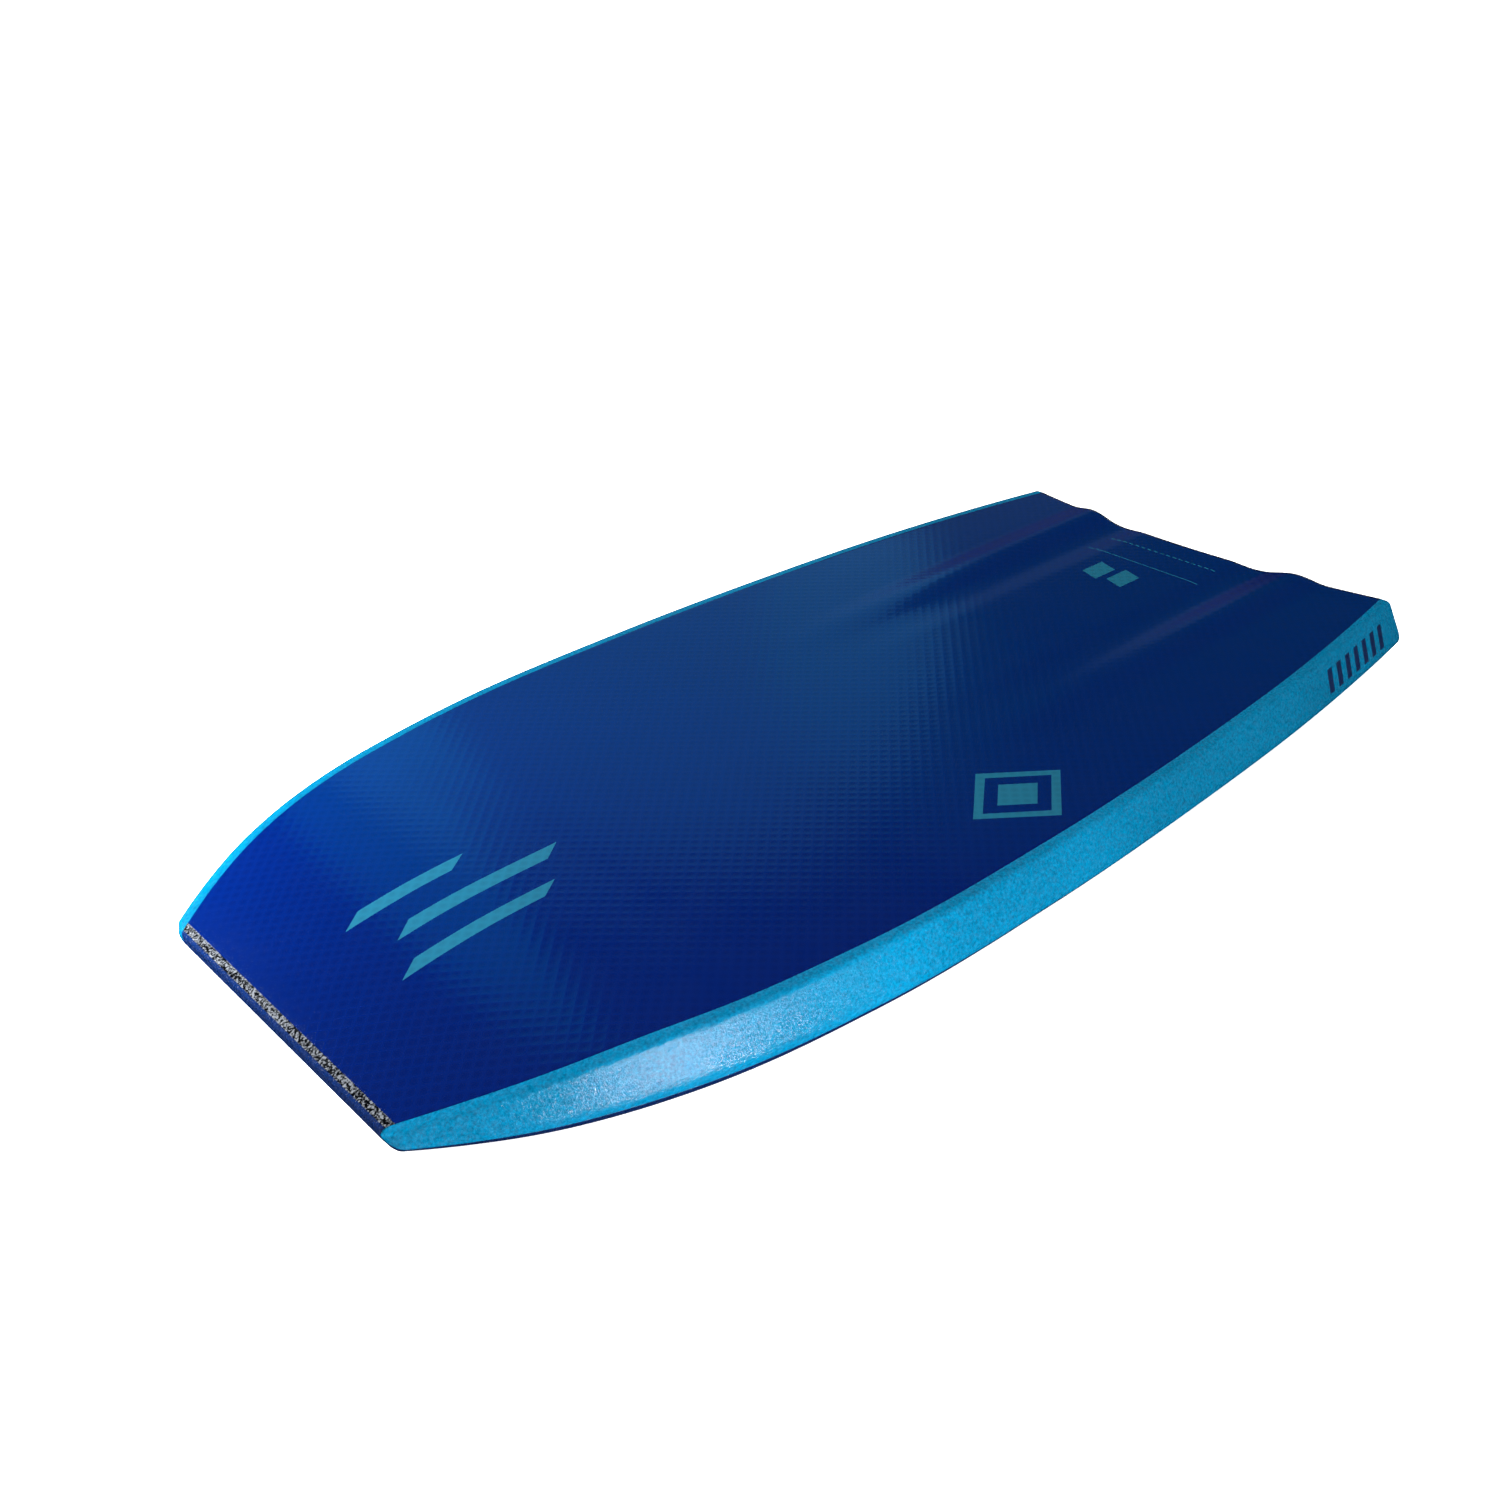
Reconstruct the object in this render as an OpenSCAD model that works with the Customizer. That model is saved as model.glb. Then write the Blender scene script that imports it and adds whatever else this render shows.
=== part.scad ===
// Crescent-tail bodyboard, lying on its deck with the slick side up.
// X runs from the nose (-) to the tail (+), Y across the board, Z up.
// The origin is at the middle of the footprint, on the surface that the board rests on.
// Left and right are those of a rider who lies on the deck and looks past the nose.

/* [Board] */
// Length from the front of the nose to the tail corners
board_length = 1065; // [960:5:1150]
// Width of the slick side at its widest point, between the hard edges
wide_width = 530; // [500:2:570]
// Width of the slick side at the nose
nose_width = 314; // [290:1:350]
// Width of the slick side at the tail corners
tail_width = 431; // [401:2:461]
// How far the middle of the crescent tail lies in front of its corners
crescent_depth = 21; // [4:1:40]

/* [Rocker] */
// Height of the flat slick above the floor, some way ahead of the tail
slick_height = 56; // [50:0.5:60]
// How far the slick drops from there to the nose
nose_drop = 31.6; // [22:0.1:33]
// How far the slick drops from there to the tail
tail_drop = 1.6; // [0:0.2:8]
// Height of the front of the deck above the floor
nose_kick = 9.2; // [6:0.1:11]
// How far the deck arches off the floor behind its front resting line
deck_arch = 4.4; // [0:0.1:6]

/* [Tail channels] */
// Height of the two ridges above the slick, at the tail
ridge_height = 4.5; // [0:0.5:8]
// Distance of each ridge from the centre line
ridge_offset = 125; // [118:1:132]
// Depth of the two hollows beside the ridges, at the tail
hollow_depth = 2; // [0:0.25:4]
// Length over which ridges and hollows rise out of the flat slick
channel_length = 510; // [200:10:600]

/* [Rails] */
// Width of the rail's flat top, beside the slick
strip_width = 8; // [5:0.5:10]
// How far the rail stands out beyond the hard edge, amidships
rail_flare = 16; // [14:0.5:22]
// Depth of the chine below the rail, amidships
chine_drop = 16; // [10:0.5:20]
// How far the chine cuts in under the rail, amidships
chine_run = 13; // [8:0.5:14]

/* [Skins] */
// Thickness of the slick skin
slick_thickness = 1; // [0.8:0.1:2]
// Thickness of the mesh under the slick skin
mesh_thickness = 0.8; // [0.5:0.1:1.5]
// Thickness of the foam backing under the mesh
backing_thickness = 2.2; // [1.5:0.1:3]
// Thickness of the deck skin
deck_thickness = 4; // [3:0.5:5]

/* [Stringer] */
// Outside diameter of the stringer tube
stringer_diameter = 12; // [9:0.5:14]
// Wall thickness of the stringer tube
stringer_wall = 1.5; // [1:0.25:2.5]
// Distance of the stringer's front end from the nose
stringer_setback = 110; // [100:5:300]
// Length of the plug that closes the bore at the tail
tail_plug_length = 20; // [12:1:40]

/* [Hidden] */

// Colours
rail_cyan = [0.0, 0.56, 0.78];
slick_blue = [0.0, 0.16, 0.52];
deck_navy = [0.02, 0.1, 0.34];
trim_black = [0.1, 0.1, 0.11];

// Outline ahead of the wide point: [share of the length, share of the widening from nose to wide point]
FORE_OUTLINE = [[0.0057, 0], [0.0638, 0.338], [0.1671, 0.702], [0.3078, 0.946], [0.4776, 1]];
// Outline behind it: [share of the length, share of the narrowing from wide point to tail]
AFT_OUTLINE = [[0.6554, 0.13], [0.8242, 0.431], [1, 1]];
// Slick line: [share of the length, share of nose_drop, share of tail_drop]
SLICK_LINE = [[0.0057, 1, 0], [0.0545, 0.587, 0], [0.1199, 0.24, 0], [0.2425, 0.085, 0],
              [0.4022, 0.044, 0], [0.5991, 0.016, 0], [0.796, 0, 0], [1, 0, 1]];
// Deck line: [share of the length, share of nose_kick, share of deck_arch]
DECK_LINE = [[0.0057, 1, 0], [0.0405, 0.72, 0], [0.0918, 0.33, 0], [0.146, 0.05, 0], [0.2023, 0, 0],
             [0.3048, 0, 0.42], [0.4675, 0, 0.78], [0.7117, 0, 1], [0.9367, 0, 0.4], [1, 0, 0]];
// Where the cross-sections lie between the nose bumper and the tail bumper, as shares of that length
ROWS = [0.024, 0.05, 0.082, 0.12, 0.165, 0.22, 0.29, 0.37, 0.45,
        0.53, 0.6, 0.67, 0.74, 0.8, 0.86, 0.91, 0.96];
// Lengthwise lines on one half of the slick, as distances from the centre line
LINES = [32, 58, 80, 97, 108, 117, 125, 133, 143];

slick_front = 8.5;            // distance of the slick's front edge from the nose
bumper_back = 21;            // distance of the nose bumper's back face from the nose
tail_lip = 2.5;              // width of the tail bumper's lip beside the skins
tail_bumper_depth = 8;       // front to back
hollow_offset = 80;          // of each hollow from the centre line
ridge_half_width = 33;
hollow_half_width = 30;
nominal_thickness = 51;      // at which the rail has its full section
apex_share = 0.57;           // depth of the rail's widest point, as a share of the thickness
edge_overhang = 1.5;         // of the rounded hard edge beyond the outline
edge_blend = 4;              // rounding of the hard edge
apex_blend = 6;              // above the rail's widest point
chine_blend = 4;
nose_edge_radius = 6;        // rounding of the rails' front ends
fold_thickness = 2.5;        // of the deck skin where it stands up in front of the nose bumper
nose_face_blend = 6;         // rounding between deck and nose face
nose_top_blend = 2;
blend_steps = 3;
end_rings = [0.6, 2, 4.5];   // distances of the rails' front rings from the nose
plug_head = 3;               // thickness of the nose plug's head
plug_reach = 15;             // how far the nose plug's stem reaches into the tube
overcut = 20;

skins = slick_thickness + mesh_thickness + backing_thickness;
side_blend = 0.48 * ((1 - apex_share) * nominal_thickness - chine_drop); // between widest point and chine
inner_half_tail = tail_width / 2 - strip_width;
stringer_height = slick_height / 2;
stringer_bore = stringer_diameter - 2 * stringer_wall;
tube_start = stringer_setback + plug_head;
bore_end = board_length - crescent_depth - tail_bumper_depth;
tube_end = bore_end - tail_plug_length;

outline = concat(
    [for (p = FORE_OUTLINE) [p[0] * board_length, (nose_width + (wide_width - nose_width) * p[1]) / 2]],
    [for (p = AFT_OUTLINE) [p[0] * board_length, (wide_width - (wide_width - tail_width) * p[1]) / 2]]);
slick_line = [for (p = SLICK_LINE) [p[0] * board_length, slick_height - p[1] * nose_drop - p[2] * tail_drop]];
deck_line = [for (p = DECK_LINE) [p[0] * board_length, p[1] * nose_kick + p[2] * deck_arch]];

// ---- Smooth curve through points [x, y]: cubic pieces whose slopes come from the neighbouring points

function run_of(p, i) = p[i + 1][0] - p[i][0];
function grade_of(p, i) = (p[i + 1][1] - p[i][1]) / run_of(p, i);
function slope_of(p, i) =
    i == 0 ? grade_of(p, 0) + (grade_of(p, 0) - grade_of(p, 1)) * run_of(p, 0) / (run_of(p, 0) + run_of(p, 1)) :
    i == len(p) - 1 ? grade_of(p, i - 1)
        + (grade_of(p, i - 1) - grade_of(p, i - 2)) * run_of(p, i - 1) / (run_of(p, i - 1) + run_of(p, i - 2)) :
    (run_of(p, i) * grade_of(p, i - 1) + run_of(p, i - 1) * grade_of(p, i)) / (run_of(p, i - 1) + run_of(p, i));
function piece_at(p, x) = max([0, for (k = [1 : len(p) - 2]) if (x >= p[k][0]) k]);
function curve(p, x) =
    let (i = piece_at(p, x), w = run_of(p, i), t = (x - p[i][0]) / w)
    (2 * pow(t, 3) - 3 * t * t + 1) * p[i][1] + (pow(t, 3) - 2 * t * t + t) * w * slope_of(p, i)
    + (3 * t * t - 2 * pow(t, 3)) * p[i + 1][1] + (pow(t, 3) - t * t) * w * slope_of(p, i + 1);

// ---- The board's surfaces, with s as the distance from the nose and y across the board

function half_width(s) = curve(outline, s);
function inner_edge(s) = half_width(s) - strip_width;
function deck_z(s) = curve(deck_line, s) - rest_height;
function bump(offset, half) = abs(offset) < half ? pow(cos(90 * offset / half), 2) : 0;
function fade(s) =
    let (t = min(1, max(0, (s - board_length + channel_length) / channel_length)))
    t * t * (3 - 2 * t);
function channel(s, y) = fade(s) * (ridge_height * bump(abs(y) - ridge_offset, ridge_half_width)
    - hollow_depth * bump(abs(y) - hollow_offset, hollow_half_width));
function slick_z(s, y) = curve(slick_line, s) + channel(s, y) - rest_height;
function tail_line(y) = board_length - crescent_depth * max(0, 1 - pow(y / inner_half_tail, 2));

// Across the board, line j runs from 0 at one rail to line_count - 1 at the other
line_count = 2 * len(LINES) + 5;
middle_line = (line_count - 1) / 2;
last_line = LINES[len(LINES) - 1];
function half_line(n, s) =
    let (edge = inner_edge(s), squeeze = min(1, edge / (last_line + 8)))
    n == 0 ? 0 :
    n <= len(LINES) ? LINES[n - 1] * squeeze :
    n == len(LINES) + 1 ? (last_line * squeeze + edge) / 2 : edge;
function line_y(j, s) = sign(j - middle_line) * half_line(abs(j - middle_line), s);

// Along the board: the slick's front edge, the bumper's back face, the rows, and the tail bumper's two faces
core_last = len(ROWS) + 2;
row_last = core_last + 1;
function square_s(i) =
    i == 0 ? slick_front :
    i == 1 ? bumper_back :
    i == core_last ? board_length - tail_bumper_depth :
    i == row_last ? board_length - tail_lip :
    bumper_back + ROWS[i - 2] * (board_length - tail_bumper_depth - bumper_back);
function row_s(i, y) =
    i <= 1 ? square_s(i) :
    i == core_last ? tail_line(y) - tail_bumper_depth :
    i == row_last ? tail_line(y) - tail_lip :
    bumper_back + ROWS[i - 2] * (tail_line(y) - tail_bumper_depth - bumper_back);

// Height of the deck line's lowest row, which rests on the floor
rest_height = min([for (s = concat([for (i = [0 : row_last]) square_s(i)], [board_length])) curve(deck_line, s)]);

function place(s, y, z) = [s - board_length / 2, y, z];
function slick_point(i, j, depth) =
    let (y = line_y(j, square_s(i)), s = row_s(i, y))
    place(s, y, slick_z(s, y) - depth);
function deck_point(i, j, depth) =
    let (y = line_y(j, square_s(i)), s = row_s(i, y))
    place(s, y, deck_z(s) + depth);
function slick_sheet(first, last, depth) =
    [for (i = [first : last]) [for (j = [0 : line_count - 1]) slick_point(i, j, depth)]];
function deck_sheet(first, last, depth) =
    [for (i = [first : last]) [for (j = [0 : line_count - 1]) deck_point(i, j, depth)]];

// Rounded corner at b between a and c, which starts and ends these distances before and after b
function toward(a, b, reach) = a + (b - a) * reach / norm(b - a);
function blend(a, b, c, before, after, steps = blend_steps) =
    let (p = toward(b, a, before), q = toward(b, c, after))
    [for (k = [0 : steps]) let (t = k / steps) (1 - t) * (1 - t) * p + 2 * t * (1 - t) * b + t * t * q];

// ---- Solids from grids of points

// Closed solid between two grids of the same size, upper lying above lower
module between(upper, lower) {
    rows = len(upper);
    cols = len(upper[0]);
    size = rows * cols;
    function at(i, j, side) = side * size + i * cols + j;
    rim = concat([for (j = [0 : cols - 1]) [0, j]], [for (i = [1 : rows - 1]) [i, cols - 1]],
                 [for (j = [cols - 2 : -1 : 0]) [rows - 1, j]], [for (i = [rows - 2 : -1 : 1]) [i, 0]]);
    polyhedron(
        points = concat([for (r = upper) each r], [for (r = lower) each r]),
        faces = concat(
            [for (i = [0 : rows - 2], j = [0 : cols - 2]) [at(i, j, 0), at(i, j + 1, 0), at(i + 1, j, 0)]],
            [for (i = [0 : rows - 2], j = [0 : cols - 2]) [at(i + 1, j, 0), at(i, j + 1, 0), at(i + 1, j + 1, 0)]],
            [for (i = [0 : rows - 2], j = [0 : cols - 2]) [at(i, j, 1), at(i + 1, j, 1), at(i, j + 1, 1)]],
            [for (i = [0 : rows - 2], j = [0 : cols - 2]) [at(i + 1, j, 1), at(i + 1, j + 1, 1), at(i, j + 1, 1)]],
            [for (k = [0 : len(rim) - 1]) let (p = rim[k], q = rim[(k + 1) % len(rim)])
                each [[at(p[0], p[1], 0), at(p[0], p[1], 1), at(q[0], q[1], 0)],
                      [at(q[0], q[1], 0), at(p[0], p[1], 1), at(q[0], q[1], 1)]]]));
}

// Closed solid through rings of the same number of points, capped at both ends
module loft(rings) {
    count = len(rings[0]);
    last = len(rings) - 1;
    polyhedron(
        points = [for (r = rings) each r],
        faces = concat(
            [[for (k = [count - 1 : -1 : 0]) k]],
            [[for (k = [0 : count - 1]) last * count + k]],
            [for (i = [0 : last - 1], k = [0 : count - 1]) let (n = (k + 1) % count)
                each [[i * count + k, i * count + n, (i + 1) * count + k],
                      [(i + 1) * count + k, i * count + n, (i + 1) * count + n]]]));
}

// ---- Rails and chines

// Distances from the nose of the sections through the rails
ring_s = concat(end_rings, [for (i = [0 : row_last]) square_s(i)], [board_length]);

// Widening of a section that is cut square to X where the outline runs at an angle
function skew(s) = norm([1, half_width(s + 1) - half_width(s)]);
// Share by which a section shrinks near the nose, which rounds the rails' front ends
function end_shrink(s, thick) =
    s >= nose_edge_radius ? 0 :
    (nose_edge_radius - sqrt(pow(nose_edge_radius, 2) - pow(nose_edge_radius - s, 2))) / (thick / 2);

// Corners of the rail side, as [distance out from the outline, depth below the slick]
function side_corners(thick) =
    let (k = thick / nominal_thickness, out = rail_flare * k)
    [[-strip_width, 0], [edge_overhang, 0], [out, apex_share * thick], [out, thick - chine_drop * k],
     [out - chine_run * k, thick], [-strip_width, thick]];
function chine_corner(thick) =
    let (c = side_corners(thick), k = thick / nominal_thickness)
    blend(c[2], c[3], c[4], side_blend * k, chine_blend * k, 2);
function rail_side(thick) =
    let (c = side_corners(thick), k = thick / nominal_thickness, seam = chine_corner(thick))
    concat([c[0]], blend(c[0], c[1], c[2], edge_blend * k, edge_blend * k),
           blend(c[1], c[2], c[3], apex_blend * k, side_blend * k),
           [seam[0], seam[1], [-strip_width, seam[1][1]]]);
function chine_side(thick) =
    let (c = side_corners(thick), k = thick / nominal_thickness, seam = chine_corner(thick))
    concat([[-strip_width, seam[1][1]], seam[1], seam[2]],
           blend(c[3], c[4], c[5], chine_blend * k, chine_blend * k), [c[5]]);

function side_ring(s, section, side) =
    let (top = slick_z(s, half_width(s)), thick = top - deck_z(s), shrink = end_shrink(s, thick))
    [for (p = section ? rail_side(thick) : chine_side(thick))
        let (out = (p[0] + strip_width) * (p[0] > 0 ? skew(s) : 1) * (1 - shrink),
             depth = thick / 2 + (p[1] - thick / 2) * (1 - shrink))
        place(s, side * (inner_edge(s) + out), top - depth)];
function mirrored(rings) = [for (r = rings) [for (k = [len(r) - 1 : -1 : 0]) r[k]]];

module side_piece(section, side) {
    rings = [for (s = ring_s) side_ring(s, section, side)];
    loft(side > 0 ? rings : mirrored(rings));
}

module rail_left() {
    color(rail_cyan) side_piece(true, 1);
}

module rail_right() {
    color(rail_cyan) side_piece(true, -1);
}

module chine_left() {
    color(deck_navy) side_piece(false, 1);
}

module chine_right() {
    color(deck_navy) side_piece(false, -1);
}

// ---- Slick side: three bonded layers

module slick_skin() {
    color(slick_blue)
        between(slick_sheet(0, row_last, 0), slick_sheet(0, row_last, slick_thickness));
}

module slick_mesh() {
    color("lightsteelblue")
        between(slick_sheet(0, row_last, slick_thickness),
                slick_sheet(0, row_last, slick_thickness + mesh_thickness));
}

module slick_backing() {
    color("steelblue")
        between(slick_sheet(0, row_last, slick_thickness + mesh_thickness), slick_sheet(0, row_last, skins));
}

// ---- Nose: the deck skin folds up round the front, with the bumper between it and the slick

function nose_row(s, z) = [for (j = [0 : line_count - 1]) place(s, line_y(j, s), z)];
function fold_outside() =
    concat(blend([bumper_back, deck_z(bumper_back)], [0, deck_z(0)], [0, slick_z(0, 0)],
                 nose_face_blend, nose_face_blend),
           blend([0, deck_z(0)], [0, slick_z(0, 0)], [fold_thickness, slick_z(fold_thickness, 0)],
                 nose_top_blend, nose_top_blend));
function fold_inside() =
    let (t = fold_thickness, low = deck_z(t) + deck_thickness, high = slick_z(t, 0),
         reach = nose_face_blend - deck_thickness,
         corner = blend([bumper_back, deck_z(bumper_back) + deck_thickness], [t, low], [t, high], reach, reach))
    concat(corner, [for (k = [1 : blend_steps + 1]) [t, corner[blend_steps][1]
        + (high - corner[blend_steps][1]) * k / (blend_steps + 1)]]);

module deck_skin() {
    outside = fold_outside();
    inside = fold_inside();
    count = len(outside);
    color(deck_navy)
        between(
            concat([for (k = [count - 1 : -1 : 0]) nose_row(inside[k][0], inside[k][1])],
                   deck_sheet(1, row_last, deck_thickness)),
            concat([for (k = [count - 1 : -1 : 0]) nose_row(outside[k][0], outside[k][1])],
                   deck_sheet(1, row_last, 0)));
}

module nose_bumper() {
    inside = fold_inside();
    back_top = slick_z(bumper_back, 0) - skins;
    back_low = deck_z(bumper_back) + deck_thickness;
    section = concat(
        [[bumper_back, back_low], [bumper_back, back_top], [slick_front, slick_z(slick_front, 0) - skins],
         [slick_front, slick_z(slick_front, 0)]],
        [for (k = [len(inside) - 1 : -1 : 0]) inside[k]]);
    color(trim_black)
        loft([for (j = [0 : line_count - 1]) [for (p = section) place(p[0], line_y(j, p[0]), p[1])]]);
}

// ---- Tail

module tail_bumper() {
    // One point of line j, as far in front of the tail line as ahead says
    function spot(j, ahead) = let (y = line_y(j, board_length - ahead)) [tail_line(y) - ahead, y];
    function top(j, ahead, depth) = let (p = spot(j, ahead)) place(p[0], p[1], slick_z(p[0], p[1]) - depth);
    function low(j, ahead, height) = let (p = spot(j, ahead)) place(p[0], p[1], deck_z(p[0]) + height);
    color(trim_black)
        loft([for (j = [0 : line_count - 1])
            [top(j, 0, 0), top(j, tail_lip, 0), top(j, tail_lip, skins), top(j, tail_bumper_depth, skins),
             low(j, tail_bumper_depth, deck_thickness), low(j, tail_lip, deck_thickness),
             low(j, tail_lip, 0), low(j, 0, 0)]]);
}

// ---- Core and stringer

module along_board(s, length, diameter) {
    translate(place(s, 0, stringer_height)) rotate([0, 90, 0]) cylinder(h = length, d = diameter, $fn = 48);
}

module foam_core() {
    color("whitesmoke")
        difference() {
            between(slick_sheet(1, core_last, skins), deck_sheet(1, core_last, deck_thickness));
            along_board(stringer_setback, board_length, stringer_diameter);
        }
}

module stringer_tube() {
    color("dimgray")
        difference() {
            along_board(tube_start, tube_end - tube_start, stringer_diameter);
            along_board(tube_start - overcut, tube_end - tube_start + 2 * overcut, stringer_bore);
        }
}

module stringer_nose_plug() {
    color("black")
        union() {
            along_board(stringer_setback, plug_head, stringer_diameter);
            along_board(stringer_setback, plug_head + plug_reach, stringer_bore);
        }
}

module stringer_tail_plug() {
    color("black") along_board(tube_end, tail_plug_length, stringer_diameter);
}

foam_core();
stringer_tube();
stringer_nose_plug();
stringer_tail_plug();
slick_backing();
slick_mesh();
slick_skin();
deck_skin();
rail_left();
rail_right();
chine_left();
chine_right();
nose_bumper();
tail_bumper();
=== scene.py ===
"""A bodyboard that lies on its deck, slick side up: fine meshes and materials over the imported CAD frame."""

import math

import bmesh
import bpy
import numpy as np
from mathutils import Matrix, Vector


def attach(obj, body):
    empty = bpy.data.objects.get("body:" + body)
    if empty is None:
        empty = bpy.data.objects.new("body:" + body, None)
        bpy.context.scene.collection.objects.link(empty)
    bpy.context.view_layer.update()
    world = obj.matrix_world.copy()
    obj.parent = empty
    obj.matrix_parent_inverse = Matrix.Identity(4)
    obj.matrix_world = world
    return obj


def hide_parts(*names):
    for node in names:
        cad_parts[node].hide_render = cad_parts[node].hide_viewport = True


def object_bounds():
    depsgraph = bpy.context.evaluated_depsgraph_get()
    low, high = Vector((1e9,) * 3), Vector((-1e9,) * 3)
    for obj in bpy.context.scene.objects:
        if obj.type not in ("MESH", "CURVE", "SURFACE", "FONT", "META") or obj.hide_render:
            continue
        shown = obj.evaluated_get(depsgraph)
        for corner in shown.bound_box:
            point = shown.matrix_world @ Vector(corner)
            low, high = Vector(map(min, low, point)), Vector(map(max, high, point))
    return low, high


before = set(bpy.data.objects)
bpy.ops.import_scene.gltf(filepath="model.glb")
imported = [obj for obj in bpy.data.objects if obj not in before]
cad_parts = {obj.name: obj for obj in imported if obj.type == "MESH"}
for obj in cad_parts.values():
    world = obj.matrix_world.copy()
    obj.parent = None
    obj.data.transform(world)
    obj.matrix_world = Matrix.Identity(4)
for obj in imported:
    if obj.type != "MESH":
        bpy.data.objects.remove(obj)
cad_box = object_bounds()

# ---- Shape of the board, in millimetres, as in the CAD part ----
# s is the distance from the nose, y the distance to the left of the middle, z the height

BOARD_LENGTH = 1065.0
WIDE_WIDTH, NOSE_WIDTH, TAIL_WIDTH = 530.0, 314.0, 431.0
CRESCENT_DEPTH = 21.0
SLICK_HEIGHT, NOSE_DROP, TAIL_DROP = 56.0, 31.6, 1.6
NOSE_KICK, DECK_ARCH = 9.2, 4.4
RIDGE_HEIGHT, RIDGE_OFFSET, RIDGE_HALF_WIDTH = 4.5, 125.0, 33.0
HOLLOW_DEPTH, HOLLOW_OFFSET, HOLLOW_HALF_WIDTH = 2.0, 80.0, 30.0
CHANNEL_LENGTH = 510.0
STRIP_WIDTH, RAIL_FLARE, CHINE_DROP, CHINE_RUN = 8.0, 16.0, 16.0, 13.0
NOMINAL_THICKNESS, APEX_SHARE = 51.0, 0.57
SLICK_THICKNESS, MESH_THICKNESS, BACKING_THICKNESS, DECK_THICKNESS = 1.0, 0.8, 2.2, 4.0
SKINS = SLICK_THICKNESS + MESH_THICKNESS + BACKING_THICKNESS
SLICK_FRONT, BUMPER_BACK = 8.5, 21.0
TAIL_LIP, TAIL_BUMPER_DEPTH = 2.5, 8.0
EDGE_OVERHANG, EDGE_BLEND, APEX_BLEND, CHINE_BLEND = 1.5, 4.0, 6.0, 4.0
SIDE_BLEND = 2.85
NOSE_EDGE_RADIUS, TAIL_EDGE_RADIUS = 6.0, 1.5
FOLD_THICKNESS, NOSE_FACE_BLEND, NOSE_TOP_BLEND = 2.5, 6.0, 2.0

FORE_OUTLINE = [(0.0057, 0), (0.0638, 0.338), (0.1671, 0.702), (0.3078, 0.946), (0.4776, 1)]
AFT_OUTLINE = [(0.6554, 0.13), (0.8242, 0.431), (1, 1)]
SLICK_LINE = [(0.0057, 1, 0), (0.0545, 0.587, 0), (0.1199, 0.24, 0), (0.2425, 0.085, 0),
              (0.4022, 0.044, 0), (0.5991, 0.016, 0), (0.796, 0, 0), (1, 0, 1)]
DECK_LINE = [(0.0057, 1, 0), (0.0405, 0.72, 0), (0.0918, 0.33, 0), (0.146, 0.05, 0), (0.2023, 0, 0),
             (0.3048, 0, 0.42), (0.4675, 0, 0.78), (0.7117, 0, 1), (0.9367, 0, 0.4), (1, 0, 0)]

OUTLINE = np.array(
    [(p * BOARD_LENGTH, (NOSE_WIDTH + (WIDE_WIDTH - NOSE_WIDTH) * q) / 2) for p, q in FORE_OUTLINE]
    + [(p * BOARD_LENGTH, (WIDE_WIDTH - (WIDE_WIDTH - TAIL_WIDTH) * q) / 2) for p, q in AFT_OUTLINE])
SLICK_CURVE = np.array([(p * BOARD_LENGTH, SLICK_HEIGHT - a * NOSE_DROP - b * TAIL_DROP)
                        for p, a, b in SLICK_LINE])
DECK_CURVE = np.array([(p * BOARD_LENGTH, a * NOSE_KICK + b * DECK_ARCH) for p, a, b in DECK_LINE])


def curve(table, x):
    """Smooth curve through a table of points, whose slopes come from the neighbouring points."""
    knots, values = table.T
    run = np.diff(knots)
    grade = np.diff(values) / run
    slope = np.empty(len(knots))
    slope[1:-1] = (run[1:] * grade[:-1] + run[:-1] * grade[1:]) / (run[1:] + run[:-1])
    slope[0] = grade[0] + (grade[0] - grade[1]) * run[0] / (run[0] + run[1])
    slope[-1] = grade[-1] + (grade[-1] - grade[-2]) * run[-1] / (run[-1] + run[-2])
    i = np.clip(np.searchsorted(knots, x, side="right") - 1, 0, len(run) - 1)
    w = run[i]
    t = (np.asarray(x, float) - knots[i]) / w
    return ((2 * t**3 - 3 * t**2 + 1) * values[i] + (t**3 - 2 * t**2 + t) * w * slope[i]
            + (3 * t**2 - 2 * t**3) * values[i + 1] + (t**3 - t**2) * w * slope[i + 1])


def half_width(s):
    """Distance from the middle to the board's outline, without the rail's flare."""
    return curve(OUTLINE, s)


def inner_edge(s):
    """Distance from the middle to the seam between the slick and a rail."""
    return half_width(s) - STRIP_WIDTH


INNER_HALF_TAIL = TAIL_WIDTH / 2 - STRIP_WIDTH


def tail_line(y):
    """Where the crescent tail ends at y."""
    return BOARD_LENGTH - CRESCENT_DEPTH * np.maximum(0, 1 - (y / INNER_HALF_TAIL) ** 2)


def hump(offset, half):
    """Smooth hump from 0 at half before the middle, to 1, and back to 0."""
    return np.where(np.abs(offset) < half, np.cos(np.pi / 2 * np.clip(offset / half, -1, 1)) ** 2, 0)


def channel(s, y):
    """Height of the tail's ridges and hollows, which fade out forwards."""
    t = np.clip((s - BOARD_LENGTH + CHANNEL_LENGTH) / CHANNEL_LENGTH, 0, 1)
    return t * t * (3 - 2 * t) * (RIDGE_HEIGHT * hump(np.abs(y) - RIDGE_OFFSET, RIDGE_HALF_WIDTH)
                                  - HOLLOW_DEPTH * hump(np.abs(y) - HOLLOW_OFFSET, HOLLOW_HALF_WIDTH))


def slick_z(s, y):
    return curve(SLICK_CURVE, s) + channel(s, y)


def deck_z(s):
    return curve(DECK_CURVE, s)


BLEND_STEPS = 8             # in each rounded corner of a section; the rail meets the chine half-way


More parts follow.
